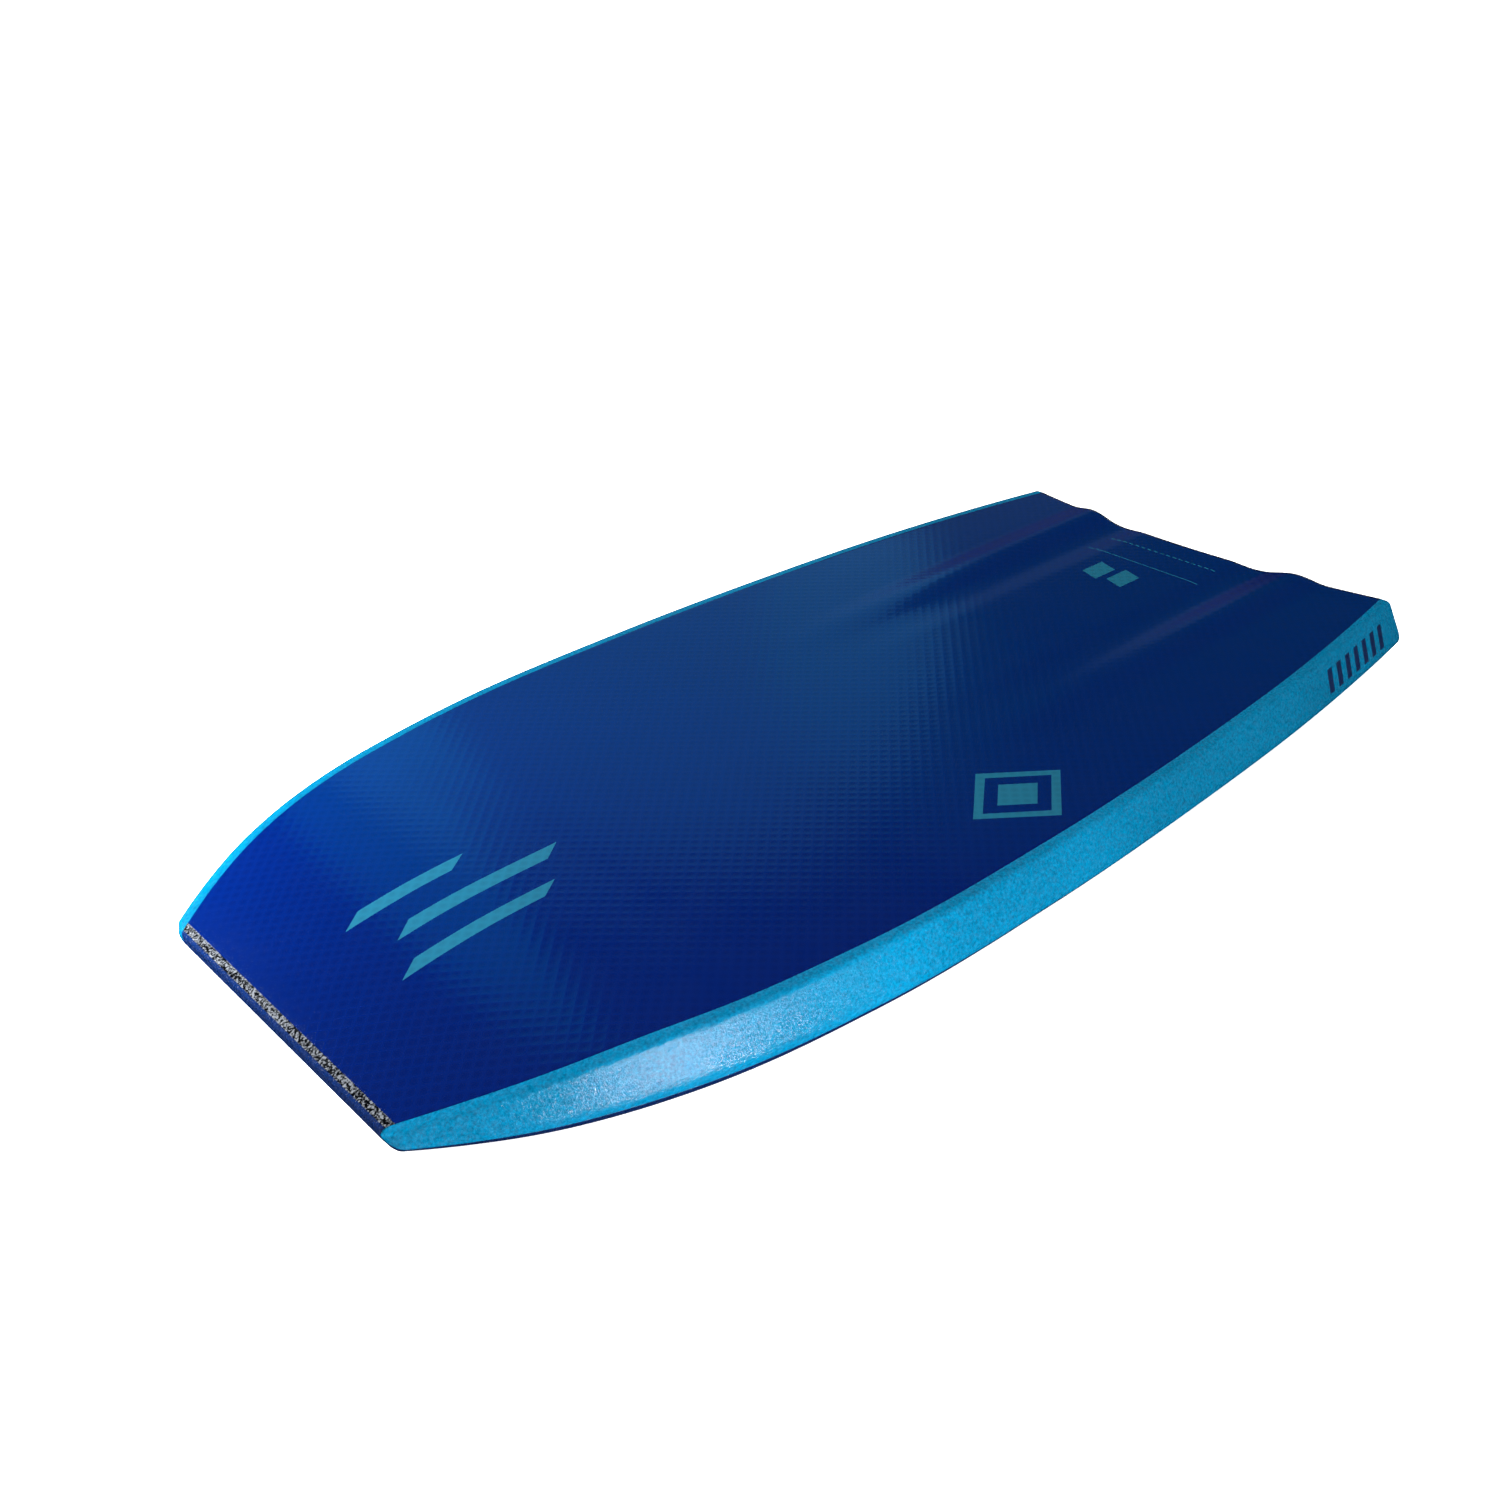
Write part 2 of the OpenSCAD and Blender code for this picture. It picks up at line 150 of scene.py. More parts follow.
def blend(a, b, c, before, after):
    """Rounded corner at b between a and c, which starts and ends these distances before and after b."""
    a, b, c = (np.array(p, float) for p in (a, b, c))
    p = b + (a - b) * before / np.linalg.norm(a - b)
    q = b + (c - b) * after / np.linalg.norm(c - b)
    t = np.linspace(0, 1, BLEND_STEPS + 1)[:, None]
    return (1 - t) ** 2 * p + 2 * t * (1 - t) * b + t**2 * q


# ---- Building meshes ----

MM = 0.001
SHARP_ANGLE = math.radians(32)      # faces that meet at more than this keep a sharp edge


def points(s, y, z):
    """Points of the board in the part's frame, in metres."""
    s, y, z = np.broadcast_arrays(s, y, z)
    return np.stack([s - BOARD_LENGTH / 2, y, z], -1) * MM


def mesh_object(name, verts, faces):
    mesh = bpy.data.meshes.new(name)
    mesh.from_pydata(np.asarray(verts).reshape(-1, 3).tolist(), [], faces)
    mesh.validate()
    mesh.shade_smooth()
    mesh.set_sharp_from_angle(angle=SHARP_ANGLE)
    piece = bpy.data.objects.new(name, mesh)
    bpy.context.scene.collection.objects.link(piece)
    return piece


def slab(name, upper, lower, step=1):
    """Closed piece between two grids. The lower grid holds every step-th row and column of the upper one."""
    rows, cols = upper.shape[:2]
    low_cols = lower.shape[1]

    def top(i, j):
        return i * cols + j

    def low(i, j):
        return rows * cols + (i // step) * low_cols + j // step

    faces = [(top(i, j), top(i + 1, j), top(i + 1, j + 1), top(i, j + 1))
             for i in range(rows - 1) for j in range(cols - 1)]
    faces += [(low(i, j), low(i, j + step), low(i + step, j + step), low(i + step, j))
              for i in range(0, rows - 1, step) for j in range(0, cols - 1, step)]
    rim = ([(0, j) for j in range(cols - 1)] + [(i, cols - 1) for i in range(rows - 1)]
           + [(rows - 1, j) for j in range(cols - 1, 0, -1)] + [(i, 0) for i in range(rows - 1, 0, -1)])
    for k in range(0, len(rim), step):
        edge = [rim[(k + m) % len(rim)] for m in range(step + 1)]
        faces.append([top(*p) for p in edge] + [low(*edge[-1]), low(*edge[0])])
    return mesh_object(name, np.vstack([upper.reshape(-1, 3), lower.reshape(-1, 3)]), faces)


def loft(name, rings, flip=False):
    """Closed piece through rings of the same number of points, capped at both ends."""
    n, count = rings.shape[:2]

    def at(i, k):
        return i * count + k % count

    faces = [(at(i, k), at(i, k + 1), at(i + 1, k + 1), at(i + 1, k))
             for i in range(n - 1) for k in range(count)]
    faces += [[at(0, k) for k in range(count - 1, -1, -1)], [at(n - 1, k) for k in range(count)]]
    if flip:
        faces = [f[::-1] for f in faces]
    return mesh_object(name, rings, faces)


BORDER = 0.6                # of the narrow faces round a grid's edge


def lengthwise(front, back, rows, cols):
    """Grid of (s, y) from the front edge to the tail line, with a narrow border all round."""
    def shares(n, reach):
        e = BORDER / reach
        return np.r_[0, np.linspace(e, 1 - e, n - 2), 1]

    along = shares(rows, BOARD_LENGTH)[:, None]
    across = 2 * shares(cols, WIDE_WIDTH)[None, :] - 1
    s = front + along * (BOARD_LENGTH - back - front) + 0 * across
    for _ in range(4):      # the tail line depends on y, and y on s
        y = across * inner_edge(s)
        s = front + along * (tail_line(y) - back - front)
    return s, across * inner_edge(s)


# ---- Prints: plain marks cut into a face, which get their own material ----

STAMP_MARGIN = 0.006        # metres beyond a mark's corners in which faces are cut
STAMP_FACING = 0.3          # least share of a face's normal that points the marks' way
CUT_DISTANCE = 1e-7         # metres from a cut within which a point counts as on it


def inside(corners, u, v):
    """Whether the point lies inside the corners, which run counterclockwise."""
    return all((bu - au) * (v - av) >= (bv - av) * (u - au)
               for (au, av), (bu, bv) in zip(corners, corners[1:] + corners[:1]))


def stamp(piece, marks, u_axis, v_axis, facing):
    """Cuts each mark's outlines into the faces that face that way, and gives its inside material slot 1."""
    bm = bmesh.new()
    bm.from_mesh(piece.data)
    for outer, hole in marks:
        us, vs = zip(*outer)

        def near(face):
            c = face.calc_center_median()
            u, v = c.dot(u_axis), c.dot(v_axis)
            return (min(us) - STAMP_MARGIN < u < max(us) + STAMP_MARGIN
                    and min(vs) - STAMP_MARGIN < v < max(vs) + STAMP_MARGIN
                    and face.normal.dot(facing) > STAMP_FACING)

        faces = [f for f in bm.faces if near(f)]
        for corners in filter(None, (outer, hole)):
            for (au, av), (bu, bv) in zip(corners, corners[1:] + corners[:1]):
                geom = list(dict.fromkeys(x for f in faces for x in (*f.verts, *f.edges))) + faces
                bmesh.ops.bisect_plane(
                    bm, geom=geom, dist=CUT_DISTANCE, plane_co=u_axis * au + v_axis * av,
                    plane_no=u_axis * (bv - av) - v_axis * (bu - au))
                faces = [f for f in bm.faces if near(f)]
        for f in faces:
            c = f.calc_center_median()
            u, v = c.dot(u_axis), c.dot(v_axis)
            if inside(outer, u, v) and not (hole and inside(hole, u, v)):
                f.material_index = 1
    bm.to_mesh(piece.data)
    bm.free()
    piece.data.set_sharp_from_angle(angle=SHARP_ANGLE)


def bar(s0, s1, y0, y1, lean=0.0):
    """Slanted bar on the slick, from s0 to s1 and y0 to y1, whose ends lean along the board."""
    corners = [(s0, y0), (s1, y0), (s1 + lean, y1), (s0 + lean, y1)]
    return [((s - BOARD_LENGTH / 2) * MM, y * MM) for s, y in corners]


def rhombus(s, y, half_length, half_breadth):
    """Rhombus on the slick round the point (s, y)."""
    corners = [(s - half_length, y), (s, y - half_breadth), (s + half_length, y), (s, y + half_breadth)]
    return [((p - BOARD_LENGTH / 2) * MM, q * MM) for p, q in corners]


# ---- Pieces ----

NET_PITCH = 12.0            # of the diamonds that the mesh under the slick embosses
NET_HEIGHT = 0.045
SLICK_EDGE_DIP = 0.2        # of the slick's outermost points, a small bevel all round


def emboss(s, y):
    """Depth of the net's diamonds in the slick's face."""
    x = s - BOARD_LENGTH / 2
    a, b = np.pi * (x + y) / NET_PITCH, np.pi * (x - y) / NET_PITCH
    return -NET_HEIGHT * np.abs(np.sin(a) * np.sin(b))


def slick_skin():
    """Skin with the net pressed into its upper face, and plain marks printed on it."""
    s, y = lengthwise(SLICK_FRONT, TAIL_LIP, 401, 197)
    z = slick_z(s, y) + emboss(s, y)
    for edge in (np.s_[0, :], np.s_[-1, :], np.s_[:, 0], np.s_[:, -1]):
        z[edge] = slick_z(s[edge], y[edge]) - SLICK_EDGE_DIP
    step = 4
    low_s, low_y = s[::step, ::step], y[::step, ::step]
    piece = slab("slick_skin_fine", points(s, y, z),
                 points(low_s, low_y, slick_z(low_s, low_y) - SLICK_THICKNESS), step)
    stripes = [(bar(s0, s1, y0, y1, 18), None)
               for s0, s1, y0, y1 in ((79, 201, -46, -33), (99, 231, -7, 7), (79, 171, 33, 46))]
    badge = [(rhombus(547, -198, 52, 44), rhombus(547, -198, 41, 34)), (rhombus(547, -198, 24, 20), None)]
    blocks = [(bar(914, 945, -15, 7, 7), None), (bar(914, 945, 15, 37, 7), None)]
    pinstripe = [(bar(972, 973.3, -64, 72, 3), None)]
    dashes = [(bar(1009.5, 1011.3, y0, y0 + 5, 0.6), None) for y0 in np.arange(-58, 66, 7.7)]
    along, across, up = Vector((1, 0, 0)), Vector((0, 1, 0)), Vector((0, 0, 1))
    stamp(piece, stripes + badge + blocks + pinstripe + dashes, along, across, up)
    return piece


def layer(name, top_depth, bottom_depth):
    """Sheet under the slick skin, between two depths."""
    s, y = lengthwise(SLICK_FRONT, TAIL_LIP, 121, 61)
    z = slick_z(s, y)
    return slab(name, points(s, y, z - top_depth), points(s, y, z - bottom_depth))


def side_corners(thick):
    """Corners of the rail side, as (distance out from the outline, depth below the slick)."""
    k = thick / NOMINAL_THICKNESS
    out = RAIL_FLARE * k
    return [(-STRIP_WIDTH, 0), (EDGE_OVERHANG, 0), (out, APEX_SHARE * thick), (out, thick - CHINE_DROP * k),
            (out - CHINE_RUN * k, thick), (-STRIP_WIDTH, thick)]


def side_seam(thick):
    """Scale and corners of the side, and its lower edge's rounding in two halves, which end at the seam."""
    c, k = side_corners(thick), thick / NOMINAL_THICKNESS
    edge = blend(c[2], c[3], c[4], SIDE_BLEND * k, CHINE_BLEND * k)
    half = BLEND_STEPS // 2
    return k, c, edge[:half], edge[half], edge[half + 1:]


def rail_section(thick):
    """Rail from its top at the slick, down the face and over the apex, to the seam with the chine."""
    k, c, above, seam, _ = side_seam(thick)
    face_start = blend(c[0], c[1], c[2], EDGE_BLEND * k, EDGE_BLEND * k)
    apex = blend(c[1], c[2], c[3], APEX_BLEND * k, SIDE_BLEND * k)
    face = face_start[-1] + (apex[0] - face_start[-1]) * np.linspace(0, 1, 6)[1:-1, None]
    return np.vstack([[(-STRIP_WIDTH, 0.2), (-STRIP_WIDTH + 0.5, 0)], face_start, face, apex, above,
                      [seam + [0.25 * k, 0], seam + [-0.6 * k, 0.15 * k], (-STRIP_WIDTH, seam[1])]])


def chine_section(thick):
    """Chine from the seam with the rail, round its foot, to the deck."""
    k, c, _, seam, below = side_seam(thick)
    foot = blend(c[3], c[4], c[5], CHINE_BLEND * k, CHINE_BLEND * k)
    return np.vstack([[(-STRIP_WIDTH, seam[1]), seam + [-0.7 * k, 0]], below, foot, [c[5]]])


def side_ring(s, section, side):
    """Section of a rail or chine at s, which shrinks towards the rounded ends."""
    top = slick_z(s, half_width(s))
    thick = top - deck_z(s)
    shrink = 0
    for radius, from_end in ((NOSE_EDGE_RADIUS, s), (TAIL_EDGE_RADIUS, BOARD_LENGTH - s)):
        if from_end < radius:
            shrink = (radius - math.sqrt(radius**2 - (radius - from_end)**2)) / (thick / 2)
    p = section(thick)
    skew = math.hypot(1, half_width(s + 1) - half_width(s))
    out = (p[:, 0] + STRIP_WIDTH) * np.where(p[:, 0] > 0, skew, 1) * (1 - shrink)
    depth = thick / 2 + (p[:, 1] - thick / 2) * (1 - shrink)
    return points(s, side * (inner_edge(s) + out), top - depth)


def side_stations():
    """Where the rail's and chine's rings stand: close together at the rounded ends and at the curved nose."""
    cap = 0.12              # radians round the end's rounding at which its flat cap starts
    nose = NOSE_EDGE_RADIUS * (1 - np.cos(np.linspace(cap, np.pi / 2, 9)))
    tail = BOARD_LENGTH - TAIL_EDGE_RADIUS * (1 - np.cos(np.linspace(np.pi / 2, cap, 5)))
    return np.r_[nose, np.linspace(8, 80, 15), np.linspace(86, BOARD_LENGTH - 8, 150), tail]


def side_piece(name, section, side):
    rings = np.array([side_ring(s, section, side) for s in side_stations()])
    return loft(name, rings, flip=side > 0)


BARS, FIRST_BAR, BAR_PITCH, BAR_LENGTH, BAR_LEAN = 7, 906.0, 18.5, 9.0, 6.0
BAR_TOP, BAR_FOOT = 0.3, 0.92       # as shares of the way down the rail's face


def rail_bars(side):
    """Row of slanted bars on the rail's face near the tail, and the axes of that face."""
    def spot(s, depth):
        top = slick_z(s, half_width(s))
        thick = top - deck_z(s)
        edge = np.array((EDGE_OVERHANG, 0))
        apex = np.array((RAIL_FLARE * thick / NOMINAL_THICKNESS, APEX_SHARE * thick))
        out, down = edge + (apex - edge) * depth
        return Vector(((s - BOARD_LENGTH / 2) * MM, side * (half_width(s) + out) * MM, (top - down) * MM))

    u_axis = Vector((1, 0, 0))
    v_axis = Vector((0, -side, 2)).normalized()     # up the face, which leans out by half its height
    marks = []
    for k in range(BARS):
        s = FIRST_BAR + BAR_PITCH * k
        corners = [spot(s, BAR_FOOT), spot(s + BAR_LENGTH, BAR_FOOT),
                   spot(s + BAR_LENGTH + BAR_LEAN, BAR_TOP), spot(s + BAR_LEAN, BAR_TOP)]
        marks.append(([(c.dot(u_axis), c.dot(v_axis)) for c in corners], None))
    return marks, u_axis, v_axis


def rail(name, side, marked):
    piece = side_piece(name, rail_section, side)
    if marked:
        marks, u_axis, v_axis = rail_bars(side)
        stamp(piece, marks, u_axis, v_axis, Vector((0, side, 0.3)))
    return piece


def nose_profiles():
    """Outside and inside of the deck skin's fold round the nose, as rows of (s, z) from its top edge down."""
    t = FOLD_THICKNESS
    outer = np.vstack([
        blend((BUMPER_BACK, deck_z(BUMPER_BACK)), (0, deck_z(0)), (0, slick_z(0, 0)),
              NOSE_FACE_BLEND, NOSE_FACE_BLEND),
        blend((0, deck_z(0)), (0, slick_z(0, 0)), (t, slick_z(t, 0)), NOSE_TOP_BLEND, NOSE_TOP_BLEND)])
    reach = NOSE_FACE_BLEND - DECK_THICKNESS
    low, high = deck_z(t) + DECK_THICKNESS, slick_z(t, 0)
    corner = blend((BUMPER_BACK, deck_z(BUMPER_BACK) + DECK_THICKNESS), (t, low), (t, high), reach, reach)
    foot, count = corner[-1][1], len(outer) - len(corner)
    rise = [(t, foot + (high - foot) * k / count) for k in range(1, count + 1)]
    return outer[::-1], np.vstack([corner, rise])[::-1]


def deck_skin():
    """Deck foam, folded up round the nose."""
    outer, inner = nose_profiles()
    cols = 81
    across = np.linspace(-1, 1, cols)[None, :]

    def fold(profile):
        s = profile[:, :1] + 0 * across
        return points(s, across * inner_edge(s), profile[:, 1:])

    s, y = lengthwise(BUMPER_BACK, TAIL_LIP, 141, cols)
    z = deck_z(s)
    return slab("deck_skin_fine", np.vstack([fold(inner), points(s, y, z + DECK_THICKNESS)]),
                np.vstack([fold(outer), points(s, y, z)]))


BUMPER_CROWN = 0.25


def nose_bumper():
    """Strip between the deck skin's fold and the slick's front edge, slightly crowned on top."""
    _, inner = nose_profiles()
    top_s = np.linspace(FOLD_THICKNESS, SLICK_FRONT, 6)
    crown = BUMPER_CROWN * np.sin(np.pi * (top_s - FOLD_THICKNESS) / (SLICK_FRONT - FOLD_THICKNESS))
    top = np.stack([top_s, slick_z(top_s, 0) + crown], 1)[::-1]
    section = np.vstack([
        [(BUMPER_BACK, deck_z(BUMPER_BACK) + DECK_THICKNESS), (BUMPER_BACK, slick_z(BUMPER_BACK, 0) - SKINS),
         (SLICK_FRONT, slick_z(SLICK_FRONT, 0) - SKINS)], top[:-1], inner])
    rings = np.array([points(section[:, 0], t * inner_edge(section[:, 0]), section[:, 1])
                      for t in np.linspace(-1, 1, 61)])
    return loft("nose_bumper_fine", rings)


def tail_bumper():
    """Strip round the crescent tail, with rounded rear corners and a lip that covers the skins' ends."""
    def ring(share):
        y = share * inner_edge(BOARD_LENGTH)

        def spot(ahead, drop, from_top):
            s = tail_line(y) - ahead
            return s, y, slick_z(s, y) - drop if from_top else deck_z(s) + drop

        corner = [(0, 1.2), (0.15, 0.55), (0.55, 0.15), (1.2, 0)]
        upper = [spot(a, d, True) for a, d in corner] + [
            spot(TAIL_LIP, 0.1, True), spot(TAIL_LIP, SKINS, True), spot(TAIL_BUMPER_DEPTH, SKINS, True)]
        lower = [spot(TAIL_BUMPER_DEPTH, DECK_THICKNESS, False), spot(TAIL_LIP, DECK_THICKNESS, False),
                 spot(TAIL_LIP, 0, False)] + [spot(a, d, False) for a, d in corner[::-1]]
        return points(*np.array(upper + lower).T)

    return loft("tail_bumper_fine", np.array([ring(t) for t in np.linspace(-1, 1, 81)]))


# ---- Materials ----

class Look:
    """A material's node tree, with short ways to add nodes."""

    def __init__(self, name, **sockets):
        self.material = bpy.data.materials.new(name)
        self.material.use_nodes = True
        self.tree = self.material.node_tree
        self.shader = self.tree.nodes["Principled BSDF"]
        for key, value in sockets.items():
            self.shader.inputs[key.replace("_", " ").title().replace("Ior", "IOR")].default_value = value
        self.place = self.add("ShaderNodeTexCoord").outputs["Object"]

    def add(self, kind, inputs=None, **settings):
        """New node, whose inputs are values or other nodes' outputs, and whose settings are its properties."""
        node = self.tree.nodes.new(kind)
        for key, value in settings.items():
            setattr(node, key, value)
        for key, value in (inputs or {}).items():
            if isinstance(value, bpy.types.NodeSocket):
                self.tree.links.new(value, node.inputs[key])
            else:
                node.inputs[key].default_value = value
        return node

    def math(self, operation, a, b=0.0):
        return self.add("ShaderNodeMath", {0: a, 1: b}, operation=operation).outputs[0]

    def noise(self, scale, detail=2.0, rough=0.5):
        node = self.add("ShaderNodeTexNoise",
                        {"Vector": self.place, "Scale": scale, "Detail": detail, "Roughness": rough})
        return node.outputs["Fac"]

    def cells(self, scale, feature="F1", output="Distance"):
        node = self.add("ShaderNodeTexVoronoi", {"Vector": self.place, "Scale": scale}, feature=feature)
        return node.outputs[output]

    def stretch(self, value, low, high, to_low, to_high):
        """The range from low to high, turned into the range from to_low to to_high."""
        node = self.add("ShaderNodeMapRange", {"Value": value, "From Min": low, "From Max": high,
                                               "To Min": to_low, "To Max": to_high})
        return node.outputs["Result"]

    def average(self, a, b, share):
        """This share of b and the rest of a."""
        return self.math("ADD", self.math("MULTIPLY", a, 1 - share), self.math("MULTIPLY", b, share))

    def net_waves(self):
        """Two waves that cross the board slantwise, one along each set of the net's strands."""
        x, y = (self.add("ShaderNodeSeparateXYZ", {0: self.place}).outputs[i] for i in (0, 1))
        turns = math.pi / (NET_PITCH * MM)
        return [self.math("SINE", self.math("MULTIPLY", self.math(way, x, y), turns))
                for way in ("ADD", "SUBTRACT")]

    def mix(self, fac, a, b):
        """Colour a where fac is 0, b where it is 1. The node keeps its colours in sockets 6, 7 and 2."""
        return self.add("ShaderNodeMix", {0: fac, 6: a, 7: b}, data_type="RGBA").outputs[2]

    def bump(self, height, distance, normal=None):
        """Normal over a relief this many metres deep, on top of another relief's normal if one is given."""
        inputs = {"Height": height, "Distance": distance, "Strength": 1.0}
        if normal is not None:
            inputs["Normal"] = normal
        return self.add("ShaderNodeBump", inputs).outputs["Normal"]

    def link(self, **sockets):
        """Links outputs to the shader's sockets, and gives the finished material."""
        for key, value in sockets.items():
            self.tree.links.new(value, self.shader.inputs[key.replace("_", " ").title()])
        return self.material


def rgb(r, g, b):
    """Colour from display values of 0 to 255."""
    def linear(v):
        v /= 255
        return v / 12.92 if v <= 0.04045 else ((v + 0.055) / 1.055) ** 2.4

    return (linear(r), linear(g), linear(b), 1.0)


def slick_look(name, colour, deeper):
    """Glossy plastic skin over a printed film, with the net's diamonds pressed into it and painted shade that
    darkens their pressed-in middles.
    """
    look = Look(name, ior=1.5)
    net = look.math("ABSOLUTE", look.math("MULTIPLY", *look.net_waves()))
    peel = look.noise(140, 3, 0.6)
    haze = look.noise(9, 3, 0.6)
    # the colour is darker where the net's diamonds are pressed deepest, which is painted shade of the embossing,
    # mixed half and half with a random tone
    emboss_shade_and_tone = look.average(net, haze, 0.5)
    colour = look.mix(look.stretch(emboss_shade_and_tone, 0.25, 0.75, 0, 1), colour, deeper)
    rough = look.stretch(look.noise(25, 4, 0.65), 0.3, 0.7, 0.13, 0.17)
    normal = look.bump(look.math("MULTIPLY", net, -1), 0.00005)
    normal = look.bump(peel, 0.000008, normal=normal)
    return look.link(base_color=colour, roughness=rough, normal=normal)


def glitter_foam(name, dark, light, size, spread, rough, grain):
    """Closed-cell foam whose pressed skin glints in small facets."""
    look = Look(name, ior=1.45)
    facets = look.cells(1 / size, output="Color")
    tilt = look.add("ShaderNodeVectorMath", {0: facets, 1: (0.5, 0.5, 0.5)}, operation="SUBTRACT").outputs[0]
    tilt = look.add("ShaderNodeVectorMath", {0: tilt, "Scale": spread}, operation="SCALE").outputs[0]
    base = look.bump(look.noise(grain, 3, 0.6), 0.0003)
    normal = look.add("ShaderNodeVectorMath", {0: base, 1: tilt}, operation="ADD").outputs[0]
    normal = look.add("ShaderNodeVectorMath", {0: normal}, operation="NORMALIZE").outputs[0]
    tone = look.average(look.noise(12, 3), look.noise(450, 3, 0.7), 0.8)
    colour = look.mix(look.stretch(tone, 0.35, 0.65, 0, 1), dark, light)
    gloss = look.stretch(look.noise(300, 2), 0.35, 0.65, rough - 0.06, rough + 0.1)
    return look.link(base_color=colour, roughness=gloss, normal=normal)


def foam_with_painted_glints(name, dark, light, grain):
    """Black foam with pale specks painted into its colour, which are painted glints of light on its rough skin."""
    look = Look(name)
    cell = look.add("ShaderNodeSeparateColor", {0: look.cells(1 / grain, output="Color")}).outputs[0]
    fine = look.noise(0.7 / grain, 3, 0.7)
    tone = look.average(cell, fine, 0.55)
    # the pale specks in the colour are painted glints; the same pattern also sets the roughness and the bump
    colour = look.mix(look.stretch(tone, 0.47, 0.66, 0, 1), dark, light)
    return look.link(base_color=colour, roughness=look.stretch(tone, 0.3, 0.7, 0.75, 0.45),
                     normal=look.bump(tone, 0.0004))


def cut_foam(name, dark, light, cell):
    """Cut or moulded foam with visible cells."""
    look = Look(name)
    edge = look.cells(1 / cell, "DISTANCE_TO_EDGE")
    colour = look.mix(look.stretch(edge, 0.02, 0.2, 0, 1), dark, light)
    rough = look.stretch(look.noise(200, 2), 0.3, 0.7, 0.7, 0.9)
    return look.link(base_color=colour, roughness=rough, normal=look.bump(edge, 0.0004))


def net_look():
    """Moulded plastic mesh: crossing strands with the gaps in a paler tone."""
    look = Look("mesh_plastic")
    a, b = (look.math("ABSOLUTE", wave) for wave in look.net_waves())
    strand = look.stretch(look.math("MINIMUM", a, b), 0.1, 0.3, 1, 0)
    colour = look.mix(strand, rgb(60, 100, 160), rgb(200, 212, 226))
    return look.link(base_color=colour, roughness=look.stretch(strand, 0, 1, 0.6, 0.4),
                     normal=look.bump(strand, 0.0004))


def fibre_look():
    """Resin-bonded fibre tube, its strands crossing in a fine weave."""
    look = Look("stringer_fibre", coat_weight=0.4)
    wave = look.add("ShaderNodeTexWave", {"Vector": look.place, "Scale": 260.0, "Distortion": 1.5},
                    bands_direction="DIAGONAL").outputs["Fac"]
    colour = look.mix(wave, rgb(24, 24, 27), rgb(52, 52, 57))
    rough = look.stretch(wave, 0, 1, 0.25, 0.4)
    return look.link(base_color=colour, roughness=rough, normal=look.bump(wave, 0.0001))


def rubber_look():
    look = Look("plug_rubber")
    grain = look.noise(700, 3)
    return look.link(base_color=look.mix(grain, rgb(16, 16, 16), rgb(34, 34, 36)),
                     roughness=look.stretch(grain, 0.3, 0.7, 0.5, 0.7), normal=look.bump(grain, 0.0001))


def floor_look():
    look = Look("floor_paint", emission_color=(1, 1, 1, 1), emission_strength=0.7)
    tone = look.noise(3, 2)
    return look.link(base_color=look.mix(tone, (0.93, 0.93, 0.93, 1), (0.95, 0.95, 0.95, 1)),
                     roughness=look.stretch(tone, 0, 1, 0.85, 0.95))


# ---- Assembly ----

slick_blue = slick_look("slick_blue", rgb(0, 15, 66), rgb(0, 12, 60))
slick_print = slick_look("slick_print", rgb(18, 72, 92), rgb(17, 67, 86))
rail_cyan = glitter_foam("rail_cyan", rgb(0, 64, 90), rgb(0, 92, 126), 0.001, 0.17, 0.15, 900)
rail_print = glitter_foam("rail_print", rgb(1, 22, 56), rgb(2, 26, 64), 0.0011, 0.1, 0.35, 900)
deck_navy = glitter_foam("deck_navy", rgb(2, 18, 54), rgb(5, 27, 70), 0.0012, 0.45, 0.3, 700)
bumper_black = foam_with_painted_glints("bumper_black", rgb(1, 1, 2), rgb(90, 94, 100), 0.0012)


def dress(piece, slot, node, *materials, foam=False):
    """Gives a piece its materials and body, and hides the CAD node that it stands for. The slot is not used."""
    for m in materials:
        piece.data.materials.append(m)
    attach(piece, "root")
    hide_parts(node)


dress(slick_skin(), "slick", "slick_skin", slick_blue, slick_print)
dress(layer("slick_mesh_fine", SLICK_THICKNESS, SLICK_THICKNESS + MESH_THICKNESS), "mesh", "slick_mesh",
      net_look())
dress(layer("slick_backing_fine", SLICK_THICKNESS + MESH_THICKNESS, SKINS), "backing_foam", "slick_backing",
      cut_foam("backing_foam", rgb(60, 100, 150), rgb(96, 140, 190), 0.0015), foam=True)
dress(rail("rail_left_fine", 1, False), "rail_foam", "rail_left", rail_cyan, rail_print, foam=True)
dress(rail("rail_right_fine", -1, True), "rail_foam", "rail_right", rail_cyan, rail_print, foam=True)
dress(side_piece("chine_left_fine", chine_section, 1), "deck_foam", "chine_left", deck_navy, foam=True)
dress(side_piece("chine_right_fine", chine_section, -1), "deck_foam", "chine_right", deck_navy, foam=True)
dress(deck_skin(), "deck_foam", "deck_skin", deck_navy, foam=True)
dress(nose_bumper(), "bumper_foam", "nose_bumper", bumper_black, foam=True)
dress(tail_bumper(), "bumper_foam", "tail_bumper", bumper_black, foam=True)

# the pieces that nothing shows keep their CAD shape and only get a material
hidden = {"foam_core": cut_foam("core_foam", rgb(205, 205, 200), rgb(238, 238, 234), 0.003),
          "stringer_tube": fibre_look()}
hidden["stringer_nose_plug"] = hidden["stringer_tail_plug"] = rubber_look()
for node, material in hidden.items():
    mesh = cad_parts[node].data
    mesh.materials.clear()
    mesh.materials.append(material)

# ---- Stage: floor, light and camera ----


FLOOR_GAP = 0.0002          # metres below the board, so that the two don't share a face


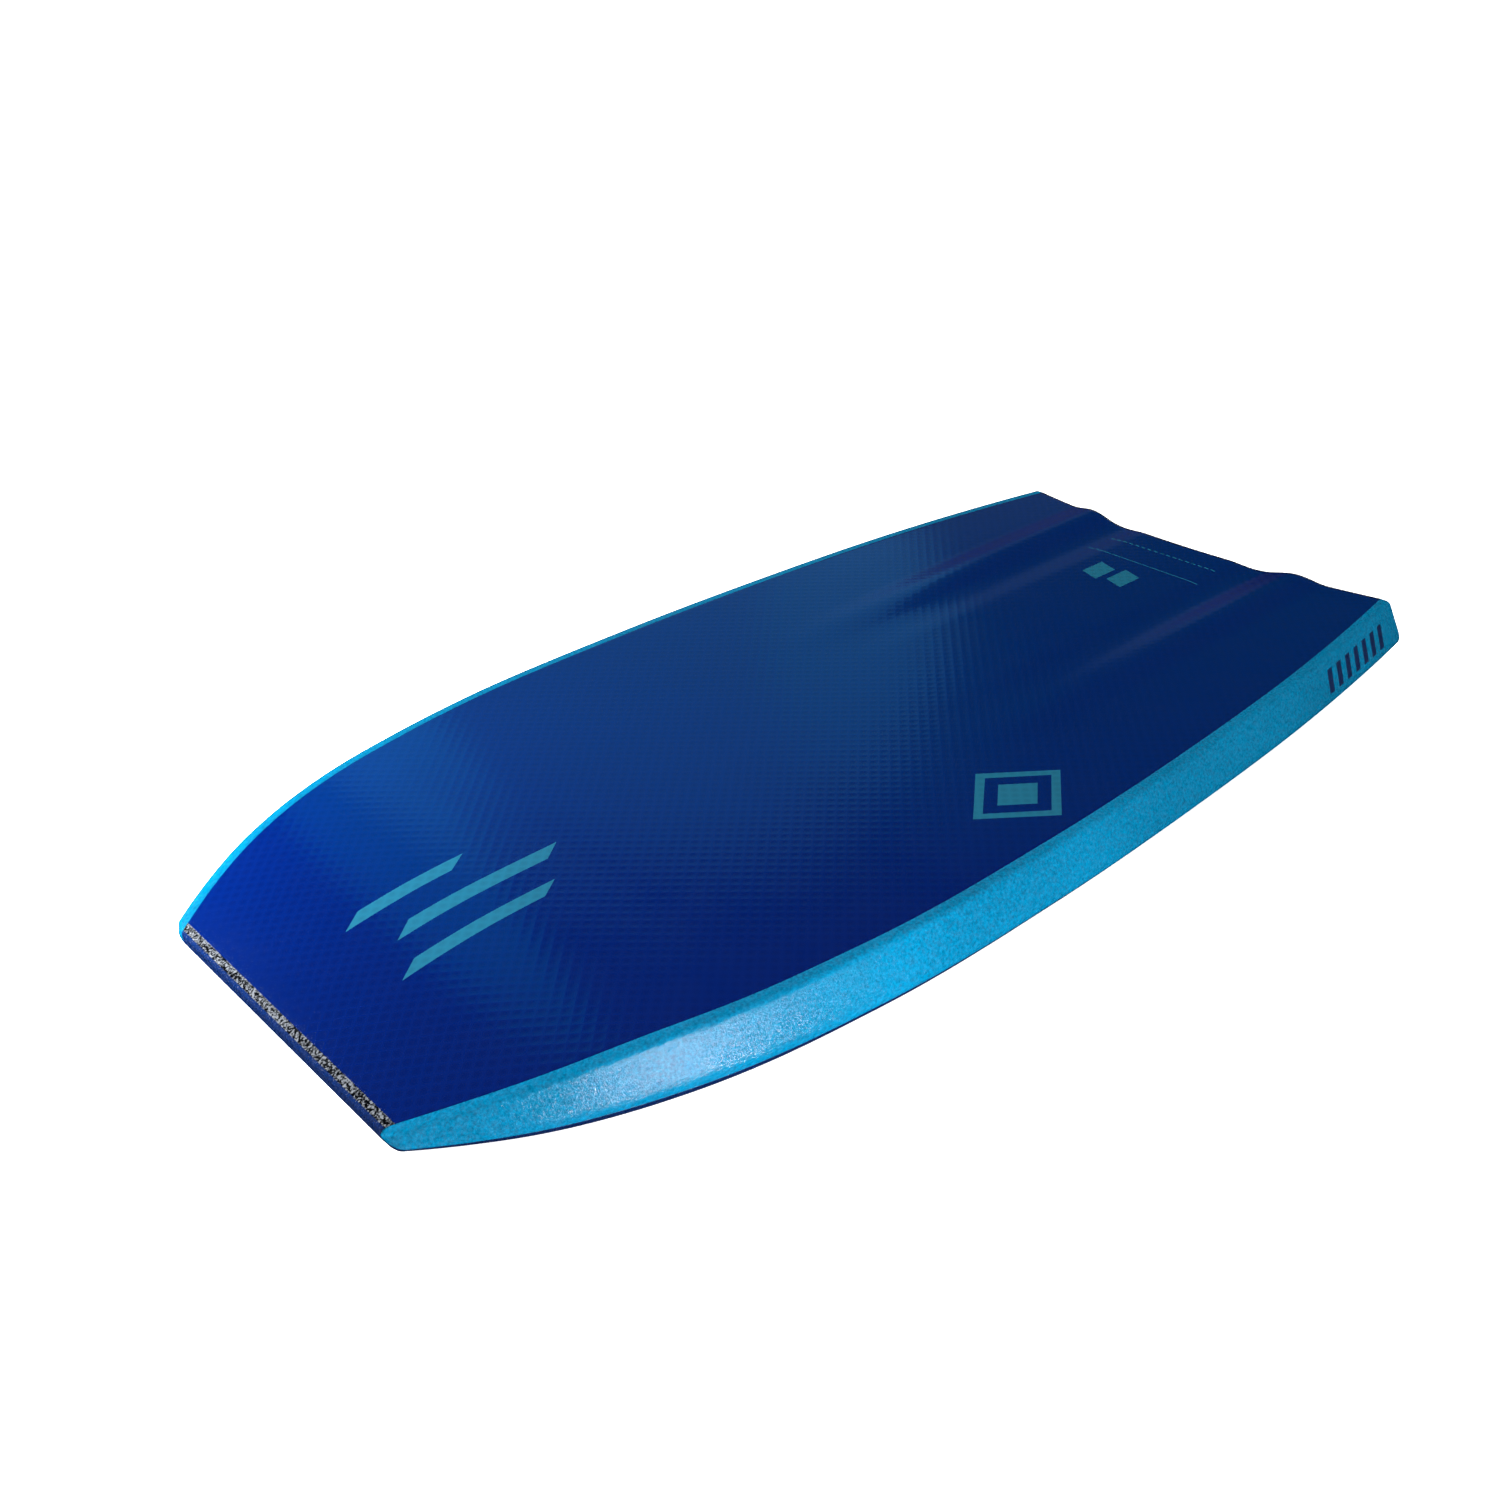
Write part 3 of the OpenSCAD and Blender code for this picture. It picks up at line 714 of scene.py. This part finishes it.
def floor():
    size = 40.0
    corners = [(-size, -size, 0), (size, -size, 0), (size, size, 0), (-size, size, 0)]
    piece = mesh_object("floor", corners, [(0, 1, 2, 3)])
    piece.location.z = cad_box[0].z - FLOOR_GAP
    piece.data.materials.append(floor_look())
    piece.visible_glossy = False


def panel(name, place, target, size, power, colour=(1, 1, 1), diffuse=True, glossy=True, shape="RECTANGLE"):
    """Softbox that faces the target, and can be kept out of the even or the mirrored light."""
    light = bpy.data.lights.new(name, "AREA")
    light.shape, light.size, light.size_y = shape, *size
    light.energy, light.color = power, colour
    lamp = bpy.data.objects.new(name, light)
    lamp.location = place
    lamp.rotation_euler = (Vector(target) - Vector(place)).to_track_quat("-Z", "Y").to_euler()
    lamp.visible_diffuse, lamp.visible_glossy = diffuse, glossy
    lamp.visible_camera = False
    bpy.context.scene.collection.objects.link(lamp)


def glow(name, azimuth, elevation, width, height, brightness, colour):
    """Soft-edged oval light that only shows as a reflection. Angles and widths are degrees seen from the board."""
    reach, centre = 3.0, Vector((-0.1, 0, 0.05))
    a, e = math.radians(azimuth), math.radians(elevation)
    place = centre + reach * Vector((math.cos(e) * math.cos(a), math.cos(e) * math.sin(a), math.sin(e)))
    shares = (0.4, 0.7, 1.0, 1.3)
    for k, share in enumerate(shares):
        size = (share * reach * math.radians(width), share * reach * math.radians(height))
        area = math.pi / 4 * size[0] * size[1]
        power = brightness / len(shares) * math.pi * area
        panel(f"{name}_{k}", place, centre, size, power, colour, diffuse=False, shape="ELLIPSE")


def sky(strength):
    """Even white light from all round, which doesn't mirror in the gloss."""
    world = bpy.data.worlds.new("studio")
    world.use_nodes = True
    background = world.node_tree.nodes["Background"]
    background.inputs["Color"].default_value = (1, 1, 1, 1)
    background.inputs["Strength"].default_value = strength
    world.cycles_visibility.glossy = False
    bpy.context.scene.world = world


def camera():
    """Camera that sees the board as the photograph does."""
    azimuth, elevation, roll = (math.radians(v) for v in (-40.0909, 29.8124, -2.6574))
    back = Vector((math.sin(azimuth) * math.cos(elevation), -math.cos(azimuth) * math.cos(elevation),
                   math.sin(elevation)))
    right = (-back).cross(Vector((0, 0, 1))).normalized()
    up = right.cross(-back)
    turned = math.cos(roll) * right + math.sin(roll) * up
    raised = math.cos(roll) * up - math.sin(roll) * right
    data = bpy.data.cameras.new("camera")
    data.lens, data.sensor_width = 39.252, 36.0
    data.clip_start, data.clip_end = 0.01, 100
    eye = bpy.data.objects.new("camera", data)
    pose = Matrix((turned, raised, back)).transposed().to_4x4()
    pose.translation = (-0.8483, -0.8994, 0.732)
    eye.matrix_world = pose
    bpy.context.scene.collection.objects.link(eye)
    bpy.context.scene.camera = eye


floor()
sky(2.0)
panel("nose_box", (-0.68, 0.42, 0.28), (-0.35, 0.1, 0), (0.25, 0.25), 16, glossy=False)
panel("side_box", (-0.33, -0.72, 0.07), (-0.31, -0.22, 0.03), (0.25, 0.1), 6, glossy=False)
panel("side_glint", (-0.4, -1.28, 0.2), (-0.38, -0.22, 0.03), (0.1, 0.07), 8, diffuse=False)
glow("left_glow", 76, 31, 12, 28, 2.5, (0.015, 0.5, 1.0))
glow("back_glow", 58, 24, 28, 20, 2.15, (0.1, 0.5, 1.0))
glow("middle_glow", 50, 28, 22, 14, 0.25, (0.02, 0.6, 1.0))
glow("tail_glow", 26, 25, 34, 20, 0.36, (0.02, 0.85, 0.9))
glow("low_glow", 45, 11, 28, 16, 0.55, (0.36, 0.52, 1.0))
camera()
bpy.context.scene.view_settings.view_transform = "Standard"
